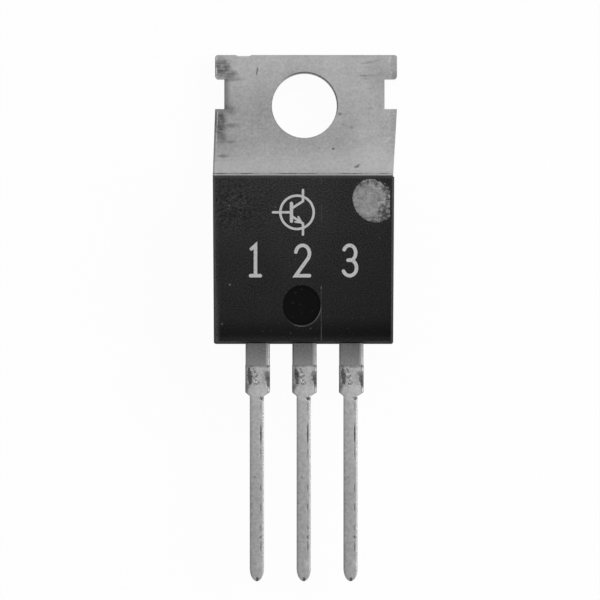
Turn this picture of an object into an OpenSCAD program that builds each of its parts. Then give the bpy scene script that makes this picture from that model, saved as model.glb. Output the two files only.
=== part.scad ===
// Power transistor in a flat three-lead package, lying on its metal back.
//
// A stamped copper tab carries the die and is also the middle lead. Resin is moulded round the
// lower half of the tab and the inner ends of all three leads. The upper half stays bare and has
// the screw hole.
//
// Frame, in millimetres: the origin is the centre of the screw hole on the back of the tab.
// +Z comes out of the printed front, +Y runs to the tab's top edge and the leads run to -Y.

/* [Mounting tab] */
// Thickness of the tab
tab_t = 1.3; // [1.1:0.05:1.5]
// Diameter of the screw hole
hole_d = 3.55; // [3:0.05:4]
// From the hole's centre up to the tab's top edge
hole_to_top = 2.75; // [2.6:0.05:3.2]
// From the hole's centre down to the case
hole_to_case = 3.85; // [3.4:0.05:4.4]
// How far each side notch reaches in from the edge of the case
waist_in = 0.56; // [0.4:0.02:0.8]
// How far the upper left ear stands out from the waist
ear_left = 0.5; // [0.3:0.02:0.7]
// How far the upper right ear stands out from the waist
ear_right = 0.68; // [0.3:0.02:0.8]
// Height of the upper ears
ear_h = 1.3; // [1:0.05:1.6]
// Height of the side notches
notch_h = 1.65; // [1.2:0.05:1.9]
// How far the tab's left edge stands out past the case where it meets it
foot_left_out = 0.02; // [0:0.01:0.12]
// How far the tab's right edge lies inside the edge of the case where it meets it
foot_right_in = 0.04; // [0.02:0.01:0.2]
// Radius of the corners of the ears
ear_r = 0.15; // [0.05:0.01:0.25]

/* [Pad inside the case] */
// How far the tab's full width runs on under the front of the case
tab_in = 0.3; // [0.2:0.05:0.5]
// How far the pad on the back of the part lies in from the edge of the case
pad_in = 0.93; // [0.7:0.01:1.2]
// Length of metal on the back, from the tab's top edge
metal_l = 12.25; // [11.8:0.05:12.8]
// How far the coined ledge that locks the resin stands out
ledge_w = 0.25; // [0.15:0.05:0.35]
// Height of that ledge above the back
ledge_z = 0.6; // [0.4:0.05:0.8]
// Width of the V groove across the front of the pad
groove_w = 0.6; // [0.4:0.05:0.8]
// Depth of that groove
groove_depth = 0.25; // [0.15:0.05:0.35]
// Distance of that groove from the top of the case
groove_in = 0.8; // [0.6:0.05:1]

/* [Leads] */
// Distance between lead centres
pitch = 2.54; // [2.5:0.01:2.6]
// Thickness of the leads
lead_t = 0.5; // [0.4:0.01:0.6]
// Height of the leads' back face above the back of the tab
lead_z = 2.5; // [2.3:0.05:2.7]
// Length of a lead outside the case
lead_l = 12.85; // [11:0.01:14]
// Width of a lead's neck at the case
neck_w = 1.32; // [1.2:0.01:1.45]
// Length of the neck outside the case
neck_l = 2.62; // [2:0.01:3.5]
// Width of the pin below the neck
pin_w = 0.75; // [0.65:0.01:0.9]
// How far the pins lie left of their necks' middle
pin_left = 0.04; // [0:0.01:0.06]
// Length of the shoulder between neck and pin
shoulder_l = 0.2; // [0.1:0.01:0.4]
// Length of the rounded tip of the pin
tip_l = 0.7; // [0.4:0.02:0.9]
// Radius rolled on the leads' front edges by the stamping
edge_r = 0.15; // [0.05:0.01:0.18]

/* [Lead ends inside the case] */
// Width of the posts that the bond wires land on
post_w = 2.8; // [2.4:0.05:3]
// Height of the posts
post_h = 1.9; // [1.6:0.05:2.1]
// How far the posts sit inside the bottom of the case
post_in = 1; // [0.8:0.05:1.1]
// Radius of the half-round notches that anchor the necks
anchor_r = 0.2; // [0.1:0.01:0.25]
// Angle of the middle lead's bend up from the pad
bend_angle = 50; // [45:1:60]
// Inside radius of that bend
bend_r = 0.3; // [0.2:0.05:0.4]
// Straight run from the pad to that bend
bend_run = 0.2; // [0.1:0.05:0.3]

/* [Die and bond wires] */
// Side of the square die
die_w = 3; // [2.4:0.1:3.4]
// Thickness of the die
die_t = 0.25; // [0.2:0.01:0.35]
// How far the solder shows round the die
solder_rim = 0.15; // [0.05:0.05:0.3]
// Thickness of the solder
solder_t = 0.05; // [0.03:0.01:0.08]
// Diameter of the base wire
base_wire_d = 0.2; // [0.15:0.01:0.25]
// Diameter of the emitter wire
emitter_wire_d = 0.3; // [0.25:0.01:0.38]
// How high a wire arches above the straight line between its ends
loop_h = 0.9; // [0.7:0.05:1]

/* [Moulded case] */
// Width of the case at its top
case_w = 9.86; // [9.7:0.02:10.2]
// How much narrower the case is at its bottom than at its top
case_taper = 0.12; // [0:0.02:0.2]
// How far the mould set the case left of the middle lead
mould_left = 0.05; // [0:0.01:0.1]
// Height of the case
case_h = 9.15; // [9:0.05:9.5]
// Thickness of the whole part
case_t = 4.5; // [4.3:0.05:4.8]
// Draft of the sides and the bottom, in degrees
draft = 4.6; // [3:0.1:6]
// Draft of the top face, in degrees
top_draft = 3.5; // [2:0.1:6]
// Radius of the upright corners
corner_r = 0.13; // [0.05:0.01:0.25]
// How far the resin lies in from the metal on the back
back_recess = 0.05; // [0.02:0.01:0.1]
// Diameter of the ejector pin's mark on the front
mark_d = 2.05; // [1.8:0.05:2.4]
// Depth of that mark
mark_depth = 0.1; // [0.05:0.01:0.15]
// Height of that mark's centre above the bottom of the case
mark_up = 2.1; // [1.8:0.05:2.6]
// How far the mark lies left of the middle lead
mark_left = 0.15; // [0:0.05:0.4]

/* [Hidden] */
$fn = 64;

// Half widths of the case at its top and at its bottom, and the tab's widths that follow them
case_half = case_w / 2;
case_foot_half = case_half - case_taper / 2;
waist_w = case_w - 2 * waist_in;
pad_w = case_w - 2 * pad_in;

// How far the sides of a pin stand out left and right of its neck's middle
pin_out_left = pin_w / 2 + pin_left;
pin_out_right = pin_w / 2 - pin_left;

// Levels along Y
top_y = hole_to_top;
notch_top_y = top_y - ear_h;
notch_foot_y = notch_top_y - notch_h;
case_top_y = -hole_to_case;
case_foot_y = case_top_y - case_h;
tab_foot_y = case_top_y - tab_in;
pad_foot_y = top_y - metal_l;
post_foot_y = case_foot_y + post_in;
post_y = post_foot_y + post_h / 2;
die_y = (tab_foot_y + pad_foot_y) / 2;

// Levels along Z
solder_top_z = tab_t + solder_t;
die_top_z = solder_top_z + die_t;
post_top_z = lead_z + lead_t;

// The S bend of the middle lead: radius and rise of its middle line
bend_mid_r = bend_r + lead_t / 2;
bend_rise = lead_z - (tab_t - lead_t);
slope_l = (bend_rise - 2 * bend_mid_r * (1 - cos(bend_angle))) / sin(bend_angle);
bend_foot_y = pad_foot_y - bend_run - 2 * bend_mid_r * sin(bend_angle)
              - slope_l * cos(bend_angle);

// Distance that reaches past everything, and one by which the parts of one solid overlap
far = 40;
lap = 0.05;

// What rounds off a right-angled corner at the origin, where the material fills the quadrant
// that side and up point to
module corner_cut(r, side, up) {
    difference() {
        square(2 * r, center = true);
        translate(r * [side, up]) circle(r);
    }
}

// The bare tab seen from the front, without its hole
module tab_outline() {
    half = waist_w / 2;
    foot_left_x = -case_half - mould_left - foot_left_out;
    foot_right_x = case_half - mould_left - foot_right_in;
    difference() {
        polygon([
            [half + ear_right, top_y],
            [half + ear_right, notch_top_y],
            [half, notch_top_y],
            [half, notch_foot_y],
            [half + ear_right, notch_foot_y],
            [foot_right_x, case_top_y],
            [foot_right_x, tab_foot_y],
            [foot_left_x, tab_foot_y],
            [foot_left_x, case_top_y],
            [-half - ear_left, notch_foot_y],
            [-half, notch_foot_y],
            [-half, notch_top_y],
            [-half - ear_left, notch_top_y],
            [-half - ear_left, top_y],
        ]);
        translate([half + ear_right, top_y]) corner_cut(ear_r, -1, -1);
        translate([half + ear_right, notch_top_y]) corner_cut(ear_r, -1, 1);
        translate([-half - ear_left, top_y]) corner_cut(ear_r, 1, -1);
        translate([-half - ear_left, notch_top_y]) corner_cut(ear_r, 1, 1);
    }
}

// A slab across the middle of the part, from one level along Y to another
module slab(w, y0, y1, z0, z1) {
    translate([-w / 2, y0, z0]) cube([w, y1 - y0, z1 - z0]);
}

// The pad under the die, with the coined ledge that keeps it in the resin
module pad() {
    slab(pad_w, pad_foot_y, case_top_y, 0, tab_t);
    slab(pad_w + 2 * ledge_w, pad_foot_y - ledge_w, case_top_y, ledge_z, tab_t);
}

// Points along an arc from one angle to another
function arc(centre, r, a0, a1, steps = 10) =
    [for (i = [0:steps]) let (a = a0 + (a1 - a0) * i / steps) centre + r * [cos(a), sin(a)]];

// Side view of the middle lead's bend, with Y to the right and Z up
module bend_side() {
    first = [pad_foot_y - bend_run, tab_t + bend_r];
    second = [bend_foot_y, lead_z - bend_r];
    inner_r = bend_r;
    outer_r = bend_r + lead_t;
    polygon(concat(
        [[pad_foot_y + ledge_w, tab_t - lead_t]],
        arc(first, outer_r, 270, 270 - bend_angle),
        arc(second, inner_r, 90 - bend_angle, 90),
        [[bend_foot_y - bend_run, lead_z], [bend_foot_y - bend_run, post_top_z]],
        arc(second, outer_r, 90, 90 - bend_angle),
        arc(first, inner_r, 270 - bend_angle, 270),
        [[pad_foot_y + ledge_w, tab_t]]
    ));
}

// Cross-section of a lead, whose front edges are rolled
module lead_section(w) {
    difference() {
        translate([-w / 2, 0]) square([w, lead_t]);
        translate([w / 2, lead_t]) corner_cut(edge_r, -1, -1);
        translate([-w / 2, lead_t]) corner_cut(edge_r, 1, -1);
    }
}

// A bar of a lead's cross-section, from one level along Y down to another, and how far it lies
// left of the lead's middle
module lead_bar(w, y_top, y_foot, left = 0) {
    translate([-left, y_top, lead_z]) rotate([90, 0, 0])
        linear_extrude(y_top - y_foot) lead_section(w);
}

// The pin's tip seen from the front: half an ellipse that starts at the origin, and a little of
// the pin above it
module tip_outline() {
    polygon(concat(
        [[pin_w / 2, lap]],
        [for (a = [360:-5:180]) [pin_w / 2 * cos(a), tip_l * sin(a)]],
        [[-pin_w / 2, lap]]
    ));
}

// A lead from inside the case, at from_y, to its tip
module lead(from_y) {
    shoulder_y = case_foot_y - neck_l;
    pin_y = shoulder_y - shoulder_l;
    tip_y = case_foot_y - lead_l;
    lead_bar(neck_w, from_y, shoulder_y);
    intersection() {
        lead_bar(neck_w, shoulder_y + lap, pin_y);
        translate([0, 0, lead_z]) linear_extrude(lead_t) polygon([
            [neck_w / 2, shoulder_y + lap],
            [neck_w / 2, shoulder_y],
            [pin_out_right, pin_y],
            [-pin_out_left, pin_y],
            [-neck_w / 2, shoulder_y],
            [-neck_w / 2, shoulder_y + lap],
        ]);
    }
    lead_bar(pin_w, shoulder_y, tip_y + tip_l, pin_left);
    intersection() {
        lead_bar(pin_w, tip_y + tip_l + lap, tip_y, pin_left);
        translate([-pin_left, tip_y + tip_l, lead_z]) linear_extrude(lead_t) tip_outline();
    }
}

// An outer lead with its bonding post and the notches that anchor it
module outer_lead() {
    difference() {
        union() {
            lead(post_foot_y + lap);
            slab(post_w, post_foot_y, post_foot_y + post_h, lead_z, post_top_z);
        }
        for (side = [-1, 1])
            translate([side * neck_w / 2, (case_foot_y + post_foot_y) / 2, lead_z - lead_t])
                cylinder(h = 3 * lead_t, r = anchor_r);
    }
}

// A bond wire that arches from point a to point b, with a flattened foot on each
module bond_wire(a, b, d) {
    run = b - a;
    plan_l = norm([run[0], run[1]]);
    chord = norm(run);
    arch_r = (chord * chord / 4 + loop_h * loop_h) / (2 * loop_h);
    rise = atan2(run[2], plan_l);
    half_turn = asin(chord / 2 / arch_r);
    foot = [3 * d, 1.3 * d, 0.6 * d];
    centre = [plan_l / 2, run[2] / 2 + d / 2] + (arch_r - loop_h) * [sin(rise), -cos(rise)];
    translate(a) rotate([0, 0, atan2(run[1], run[0])]) {
        translate([0, 0, foot[2] / 2]) cube(foot, center = true);
        translate([plan_l, 0, run[2] + foot[2] / 2]) cube(foot, center = true);
        translate([centre[0], 0, centre[1]]) rotate([90, 0, 0])
            rotate_extrude(angle = 2 * half_turn, start = 90 + rise - half_turn)
                translate([arch_r, 0]) circle(d = d);
    }
}

// Everything past one drafted wall of the case: at is a point on the wall's parting edge, and
// out is the direction that the wall faces
module past_wall(at, out, slope) {
    translate(at) rotate([0, 0, out]) for (lean = [-slope, slope])
        rotate([0, lean, 0]) translate([0, -far / 2, -far / 2]) cube(far);
}

// The case at the parting line seen from the front
module case_outline() {
    difference() {
        polygon([
            [case_half, case_top_y],
            [case_foot_half, case_foot_y],
            [-case_foot_half, case_foot_y],
            [-case_half, case_top_y],
        ]);
        translate([case_foot_half, case_foot_y]) corner_cut(corner_r, -1, 1);
        translate([-case_foot_half, case_foot_y]) corner_cut(corner_r, 1, 1);
    }
}

// The resin as it comes out of the mould, with nothing taken out of its inside
module case_blank() {
    taper = atan(case_taper / 2 / case_h);
    difference() {
        translate([-mould_left, 0, back_recess])
            linear_extrude(case_t - back_recess) case_outline();
        past_wall([case_half - mould_left, case_top_y, lead_z], -taper, draft);
        past_wall([-case_half - mould_left, case_top_y, lead_z], 180 + taper, draft);
        past_wall([0, case_foot_y, lead_z], -90, draft);
        past_wall([0, case_top_y, tab_t], 90, top_draft);
        translate([-mark_left, case_foot_y + mark_up, case_t - mark_depth])
            cylinder(h = 1, d = mark_d);
    }
}

module mounting_tab() {
    color("#a9abad") difference() {
        union() {
            linear_extrude(tab_t) tab_outline();
            pad();
            translate([-neck_w / 2, 0, 0]) rotate([90, 0, 90]) linear_extrude(neck_w) bend_side();
            lead(bend_foot_y);
        }
        translate([0, 0, -1]) cylinder(h = tab_t + 2, d = hole_d);
        translate([-far / 2, case_top_y - groove_in, tab_t]) rotate([90, 0, 90])
            linear_extrude(far) polygon([
                [groove_w / 2, 0], [0, -groove_depth], [-groove_w / 2, 0],
                [-groove_w / 2, 1], [groove_w / 2, 1],
            ]);
    }
}

module base_lead() {
    color("#9c9ea0") translate([-pitch, 0, 0]) outer_lead();
}

module emitter_lead() {
    color("#9c9ea0") translate([pitch, 0, 0]) outer_lead();
}

module die_solder() {
    w = die_w + 2 * solder_rim;
    color("#8d9094") translate([0, die_y, tab_t + solder_t / 2])
        cube([w, w, solder_t], center = true);
}

module die() {
    color("#4b5468") translate([0, die_y, solder_top_z + die_t / 2])
        cube([die_w, die_w, die_t], center = true);
}

module base_wire() {
    color("#d0d2d4") bond_wire([-die_w / 4, die_y - die_w / 4, die_top_z],
                               [-pitch + post_w / 6, post_y, post_top_z], base_wire_d);
}

module emitter_wire() {
    color("#d0d2d4") bond_wire([die_w / 4, die_y - die_w / 4, die_top_z],
                               [pitch - post_w / 6, post_y, post_top_z], emitter_wire_d);
}

module case() {
    color("#26272a") difference() {
        case_blank();
        mounting_tab();
        base_lead();
        emitter_lead();
        die_solder();
        die();
        base_wire();
        emitter_wire();
    }
}

case();
mounting_tab();
base_lead();
emitter_lead();
die();
die_solder();
base_wire();
emitter_wire();
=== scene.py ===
# %% [markdown]
# # A power transistor on a white table
#
# The real thing is a strip of plated copper with a chip soldered to it, and black resin moulded
# round the chip and the inner ends of three leads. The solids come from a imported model, at their
# real size and in one frame: the origin is the screw hole's centre on the back, +Z comes out of
# the front and the leads run to -Y. This script gives those solids their finish, softens the
# edges that the stamping and the mould leave soft, and adds what is only a coat: the solder on
# the leads, the paint and the print.

# %% Load the frame
import math
import bmesh
import bpy
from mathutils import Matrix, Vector


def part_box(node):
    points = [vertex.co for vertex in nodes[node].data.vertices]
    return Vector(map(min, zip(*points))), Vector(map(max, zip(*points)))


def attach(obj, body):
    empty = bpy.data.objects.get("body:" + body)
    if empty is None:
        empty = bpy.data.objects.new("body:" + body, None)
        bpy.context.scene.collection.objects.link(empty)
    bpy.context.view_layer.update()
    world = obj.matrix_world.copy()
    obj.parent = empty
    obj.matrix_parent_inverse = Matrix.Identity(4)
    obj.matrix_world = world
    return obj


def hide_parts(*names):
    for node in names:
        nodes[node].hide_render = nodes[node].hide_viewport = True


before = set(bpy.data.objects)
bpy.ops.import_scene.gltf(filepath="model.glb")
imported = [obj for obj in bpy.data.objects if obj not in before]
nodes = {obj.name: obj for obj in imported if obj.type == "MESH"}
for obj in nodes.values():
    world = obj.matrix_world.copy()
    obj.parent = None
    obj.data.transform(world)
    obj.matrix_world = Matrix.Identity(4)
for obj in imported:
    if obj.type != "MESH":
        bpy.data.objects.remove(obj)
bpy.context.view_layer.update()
MM = 0.001
print("nodes:", ", ".join(sorted(nodes)))

# %% [markdown]
# ## Levels that the finishes are placed by
#
# A finish that stops somewhere, such as the solder or the print, is placed from the solids and not
# from typed numbers, so that it stays where it belongs. Everything below is in millimetres. Only
# the tab's thickness is typed, because the tab is one piece with the middle lead, and its box holds
# them both.

# %% Read the levels from the solids
case_low, case_high = (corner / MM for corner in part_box("case"))
tab_low, tab_high = (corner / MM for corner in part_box("mounting_tab"))
base_low, base_high = (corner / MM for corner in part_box("base_lead"))
emitter_low, emitter_high = (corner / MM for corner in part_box("emitter_lead"))
FRONT_Z = case_high.z
CASE_TOP_Y = case_high.y
CASE_FOOT_Y = case_low.y
TAB_T = 1.3
LEAD_BACK_Z = base_low.z
LEAD_FRONT_Z = base_high.z
TIP_Y = tab_low.y
LEAD_XS = {"base_lead": (base_low.x + base_high.x) / 2, "collector_lead": 0.0,
           "emitter_lead": (emitter_low.x + emitter_high.x) / 2}
PITCH = LEAD_XS["emitter_lead"]
print(f"front at {FRONT_Z:.2f} mm, leads end at {TIP_Y:.2f} mm and stand {PITCH:.2f} mm apart")

# %% [markdown]
# ## Camera
#
# The photograph looks straight down on the part from far away, so near and far edges are almost
# the same size. A long lens does that. The part's place in the picture comes from one point, the
# screw hole's rim, and its size from the pixels in a millimetre.

# %% Set the camera
PICTURE = 600
PIXELS_PER_MM = 18.34
HOLE_PIXEL = (304.4, 105.4)
CAMERA_AWAY = 300.0
CLIP_START = 10.0
SENSOR = 36.0

middle = PICTURE / 2
camera_x = (middle - HOLE_PIXEL[0]) / PIXELS_PER_MM
camera_y = (HOLE_PIXEL[1] - middle) / PIXELS_PER_MM
camera_data = bpy.data.cameras.new("camera")
camera_data.sensor_width = SENSOR
camera_data.lens = SENSOR * CAMERA_AWAY * PIXELS_PER_MM / PICTURE
camera_data.clip_start = CLIP_START * MM
camera = bpy.data.objects.new("camera", camera_data)
camera.location = Vector((camera_x, camera_y, TAB_T + CAMERA_AWAY)) * MM
bpy.context.scene.collection.objects.link(camera)
bpy.context.scene.camera = camera
print(f"lens {camera_data.lens:.0f} mm")

# %% [markdown]
# ## Shader maths written as Python
#
# A finish is mostly arithmetic: noise plus a smudge, times a mask. Joining Math nodes by hand hides
# that, so one small class wraps an output socket and overloads the operators. Every other node
# comes from one method, which sets the node's own settings first and its sockets after.

# %% Wrap a socket
class Value:
    """A number that varies over a surface."""

    def __init__(self, owner, socket):
        self.owner = owner
        self.socket = socket

    def __add__(self, other):
        return self.owner.maths("ADD", self, other)

    def __sub__(self, other):
        return self.owner.maths("SUBTRACT", self, other)

    def __rsub__(self, other):
        return self.owner.maths("SUBTRACT", other, self)

    def __mul__(self, other):
        return self.owner.maths("MULTIPLY", self, other)

    def __truediv__(self, other):
        return self.owner.maths("DIVIDE", self, other)

    __radd__ = __add__
    __rmul__ = __mul__

    def squared(self):
        return self * self

    def root(self):
        return self.owner.maths("SQRT", self)

    def size(self):
        return self.owner.maths("ABSOLUTE", self)

    def larger(self, other):
        return self.owner.maths("MAXIMUM", self, other)

    def ramp(self, low, high):
        """0 below low, 1 above high and smooth between; low may be the larger one."""
        node = self.owner.node("ShaderNodeMapRange", {"interpolation_type": "SMOOTHSTEP"},
                               {"Value": self, "From Min": low, "From Max": high})
        return Value(self.owner, node.outputs["Result"])


def largest(values):
    """The largest of many values at each point, and never less than 0."""
    most = 0.0
    for value in values:
        most = value.larger(most)
    return most


print("values add, subtract, multiply and divide")

# %% [markdown]
# ## Nodes and finishes
#
# A material and the sky are both trees of nodes, so they share the methods that add a node. A
# finish also has noise and soft spots, placed in millimetres by Object coordinates, which stay on
# the part when it or the camera moves.

# %% Wrap a tree and a material
class Nodes:
    """A tree of nodes and the arithmetic in it."""

    def __init__(self, tree):
        self.tree = tree

    def node(self, kind, settings, sockets):
        """Any node: its own settings, then the values or links of its sockets."""
        new = self.tree.nodes.new(kind)
        for setting, value in settings.items():
            setattr(new, setting, value)
        for name, value in sockets.items():
            self.feed(new.inputs[name], value)
        return new

    def feed(self, target, value):
        """Links a value or a socket to target, or sets a plain number or colour."""
        source = value.socket if isinstance(value, Value) else value
        if isinstance(source, bpy.types.NodeSocket):
            self.tree.links.new(source, target)
        else:
            target.default_value = source

    def maths(self, operation, *values):
        node = self.node("ShaderNodeMath", {"operation": operation}, dict(enumerate(values)))
        return Value(self, node.outputs[0])

    def rays(self, *kinds):
        """1 for rays of these kinds, such as those that the camera sends, and 0 for others."""
        path = self.node("ShaderNodeLightPath", {}, {})
        return largest(Value(self, path.outputs[f"Is {kind} Ray"]) for kind in kinds)


class Finish(Nodes):
    """A material that is built up from nodes."""

    def __init__(self, name, **fixed):
        self.material = bpy.data.materials.new(name)
        self.material.use_nodes = True
        super().__init__(self.material.node_tree)
        self.shader = self.tree.nodes["Principled BSDF"]
        self.set(**fixed)
        place = self.node("ShaderNodeTexCoord", {}, {}).outputs["Object"]
        scaled = self.node("ShaderNodeVectorMath", {"operation": "SCALE"},
                           {"Vector": place, "Scale": 1 / MM})
        self.place = scaled.outputs["Vector"]
        parts = self.node("ShaderNodeSeparateXYZ", {}, {"Vector": self.place}).outputs
        self.x, self.y, self.z = (Value(self, part) for part in parts)

    def set(self, **values):
        for socket, value in values.items():
            self.feed(self.shader.inputs[socket.replace("_", " ")], value)

    def noise(self, per_mm, detail=2.0, roughness=0.5, stretch=(1, 1, 1), seed=0.0, turn=0.0):
        """Noise from about 0.3 to 0.7, with that many lumps in a millimetre."""
        place = self.node("ShaderNodeMapping", {}, {"Vector": self.place, "Scale": stretch,
                                                    "Rotation": (0, 0, math.radians(turn)),
                                                    "Location": (seed, seed / 3, 0)})
        node = self.node("ShaderNodeTexNoise", {}, {"Vector": place.outputs[0], "Scale": per_mm,
                                                    "Detail": detail, "Roughness": roughness})
        return Value(self, node.outputs[0])

    def spot(self, x, y, half_w, half_h, soft=0.5, ragged=0.0):
        """1 inside an ellipse on the front and 0 outside, with a soft and perhaps ragged edge."""
        away = (((self.x - x) / half_w).squared() + ((self.y - y) / half_h).squared()).root()
        if ragged:
            away = away + (self.noise(6 / max(half_w, half_h), 4, seed=x + y) - 0.5) * ragged
        return away.ramp(1 + soft, 1 - soft)

    def blend(self, factor, low, high):
        """A colour between two others."""
        mix = self.node("ShaderNodeMix", {"data_type": "RGBA"},
                        {"Factor": factor, "A": low, "B": high})
        return mix.outputs["Result"]

    def bump(self, height, depth_mm):
        """Feeds a height from 0 to 1, worth depth_mm, to the shader's normal."""
        node = self.node("ShaderNodeBump", {}, {"Height": height, "Distance": depth_mm * MM})
        self.feed(self.shader.inputs["Normal"], node.outputs["Normal"])


def grey(level):
    return (level, level, level, 1)


print("shader helpers ready")

# %% [markdown]
# ## Plain plating on the necks
#
# Between the resin and the solder each lead is a bare neck with thin, dark plating, drawn out in
# fine lines along the strip, with painted highlights where its edges are rolled over. The necks
# look the same, so a Wrap node folds X by the leads' pitch and one pattern serves all three. The
# middle neck is part of the tab's piece, whose finish uses the same colour there.

# %% Colour of the plain plating
def plain_colour(finish):
    """A lead's plain plating: painted highlights on its rolled edges, paler towards the solder."""
    across = finish.maths("WRAP", finish.x, PITCH / 2, -PITCH / 2)
    front = finish.z.ramp(LEAD_FRONT_Z - 0.2, LEAD_FRONT_Z - 0.1)
    grain = finish.noise(9, 3, 0.6) - 0.5
    draw = finish.noise(2.0, 2, 0.5, stretch=(5, 0.4, 5), seed=3) - 0.5
    # Painted highlights on both rolled edges of each neck, the right one brighter.
    right = (across - 0.505).size().ramp(0.08, 0.03) * 0.6
    left = across.ramp(-0.59, -0.64) * 0.5
    down = (CASE_FOOT_Y - finish.y).ramp(0.4, 1.17) * 0.2
    level = 0.31 + grain * 0.65 + draw * 0.25 + front * (right + left + down)
    return finish.blend(level, grey(0.10), grey(0.30)), grain


print(f"one pattern in {PITCH:.2f} mm of X")

# %% [markdown]
# ## Marks on the nickel-plated tab
#
# The tab is stamped and then plated a satin silver. Its left edge is smudged where it was handled,
# and small pits and smears are scattered over it. A painter would dab such marks on one by one,
# and so do these lists. Each row is a place, half a width, half a height and a strength. Noise
# tears the outlines, so that no mark is a clean ellipse.

# %% Place the smudges and pits
SMUDGES = [
    (-4.5, 2.05, 0.46, 0.5, 0.82), (-4.1, 1.66, 0.42, 0.3, 0.66),
    (-3.95, 1.42, 0.5, 0.1, 0.45), (-4.6, -0.95, 0.3, 0.75, 0.88),
    (-4.55, -1.75, 0.28, 0.32, 0.65), (-4.2, -0.25, 0.42, 0.25, 0.5),
    (-4.05, -1.1, 0.5, 0.12, 0.45), (-4.1, -1.98, 0.4, 0.08, 0.35),
    (-4.45, -2.76, 0.3, 0.08, 0.5),
]
PITS = [
    (-2.56, 1.95, 0.05, 0.12, 0.7), (-2.6, 1.78, 0.04, 0.13, 0.7),
    (1.94, -0.47, 0.1, 0.08, 0.6), (2.1, -1.04, 0.07, 0.06, 0.3),
    (2.57, -1.2, 0.08, 0.08, 0.35), (1.57, -2.36, 0.07, 0.06, 0.8),
    (2.83, -3.35, 0.13, 0.05, 0.7), (2.91, -3.29, 0.08, 0.06, 0.7),
    (2.98, -3.22, 0.03, 0.05, 0.6), (3.28, 1.62, 0.28, 0.055, 0.42),
    (3.7, 1.64, 0.26, 0.05, 0.24), (3.35, 1.46, 0.2, 0.05, 0.22),
    (3.28, 2.3, 0.22, 0.05, 0.28), (3.58, 2.36, 0.24, 0.05, 0.3),
    (3.9, 2.43, 0.22, 0.05, 0.22), (4.13, -0.05, 0.12, 0.14, 0.2),
    (3.6, -0.15, 0.14, 0.06, 0.2), (3.56, 0.92, 0.12, 0.05, 0.16),
]


def tab_marks(tab, streaks):
    """How dark the smudges and pits are, from 0 to 1."""
    blotch = tab.noise(3.2, 3, 0.6, seed=11) - 0.5
    patchy = streaks * 1.6 + blotch * 1.4 + 0.9
    smudges = [tab.spot(x, y, half_w, half_h, 0.6, 1.0) * depth * patchy
               for x, y, half_w, half_h, depth in SMUDGES]
    pits = [tab.spot(x, y, half_w, half_h, 0.6, 0.6) * depth
            for x, y, half_w, half_h, depth in PITS]
    return largest(smudges + pits)


print(len(SMUDGES), "smudges and", len(PITS), "pits")

# %% [markdown]
# ## Edges of the tab
#
# The press rolls the stamped sides over a little, and painted shade darkens them. The left roll
# is burnished in short dashes that also get a painted highlight, and the right side is rubbed to
# bright hairs and flecks. All of it is made from the distance in from each side. Below the notches
# both sides lean to the left, the right one more, and the left notch's waist gets painted shade.

# %% Find the rolled and rubbed edges
EAR_LEFT_X = -4.87
EAR_RIGHT_X = 5.05
WAIST_X = -4.37
NOTCH_Y = 0.62
NOTCH_HALF = 0.83
NOTCH_FOOT_Y = -0.20
LEAN = 0.036
LEAN_RIGHT = 1.6
RUB_END_Y = -2.6


def in_from_sides(tab):
    """How far in from the left and the right side, and 1 beside the ears or 0 in the notches."""
    lean = (NOTCH_FOOT_Y - tab.y).larger(0.0) * LEAN
    ears = (tab.y - NOTCH_Y).size().ramp(NOTCH_HALF - 0.03, NOTCH_HALF + 0.03)
    return tab.x - EAR_LEFT_X + lean, EAR_RIGHT_X - tab.x - lean * LEAN_RIGHT, ears


def tab_edges(tab):
    """How much painted shade darkens the rolled sides, the left's burnished glint, all bright
    flecks.
    """
    in_left, in_right, ears = in_from_sides(tab)
    rubbed = ears * tab.y.ramp(RUB_END_Y, RUB_END_Y + 0.8)
    roll = 0.12 - tab.y.ramp(0.5, 0.7) * 0.06
    # Painted shade: on the left roll, near the rubbed right side and along the left notch's wall.
    rolled = largest([(in_left - roll).ramp(0.0, -0.06) * ears * 0.45,
                      in_right.ramp(0.50, 0.10) * rubbed * 0.14,
                      (tab.x - WAIST_X).ramp(0.42, 0.05) * (1 - ears) * 0.58])
    dotted = tab.noise(3, 3, 0.7, stretch=(0.2, 1, 1), seed=5).ramp(0.42, 0.58)
    # The burnish is a real polished ridge, and its brightness is also a painted highlight.
    burnish_and_glint = (in_left - roll - 0.02).size().ramp(0.04, 0.01) * ears * dotted
    burnish_and_glint = burnish_and_glint * (tab.y.ramp(RUB_END_Y, RUB_END_Y + 0.7) * 0.8 + 0.2)
    wander = (tab.noise(1.6, 3, 0.6, stretch=(0.1, 1, 1), seed=2) - 0.5) * 0.9
    broken = tab.noise(2.2, 3, 0.6, seed=8).ramp(0.44, 0.58)
    rub = (in_right - 0.38 + wander).size().ramp(0.05, 0.01) * rubbed * broken
    hair = (tab.noise(4.0, 3, 0.6, seed=2) - 0.5).size().ramp(0.035, 0.012)
    speck = in_right.ramp(0.9, 0.3) * hair * rubbed
    return rolled, burnish_and_glint, largest([burnish_and_glint, rub * 0.6, speck * 0.75])


print(f"the upper ears are {EAR_RIGHT_X - EAR_LEFT_X:.2f} mm wide")

# %% [markdown]
# ## Tone of the tab
#
# A flat plated face reflects the room unevenly, so painted light makes its grey drift from top to
# foot, and lifts it beside the resin. Broad ramps do that better than one gradient, because each
# can be moved alone. The punch has rolled in the screw hole's rim, which gets painted shade where
# it turns from the light, and the mould's clamp has printed a fine line across the tab just above
# the resin.

# %% Grey of the clean plating
HOLE_R = 1.775
# Bands and patches of painted light and shade on the plating.
PAINTED_LIGHT_BANDS = [(-2.0, 1.0, -0.04), (2.1, -0.2, -0.11), (-1.9, -3.1, 0.11), (1.7, 2.4, 0.045)]
PAINTED_LIGHT_PATCHES = [(2.2, 1.0, 1.0, 1.3, 0.8), (3.9, -2.9, 0.8, 0.8, 0.9)]
PAINTED_LIGHT_LIFT = 0.09
MOULD_LINE_Y = CASE_TOP_Y + 0.135


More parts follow.
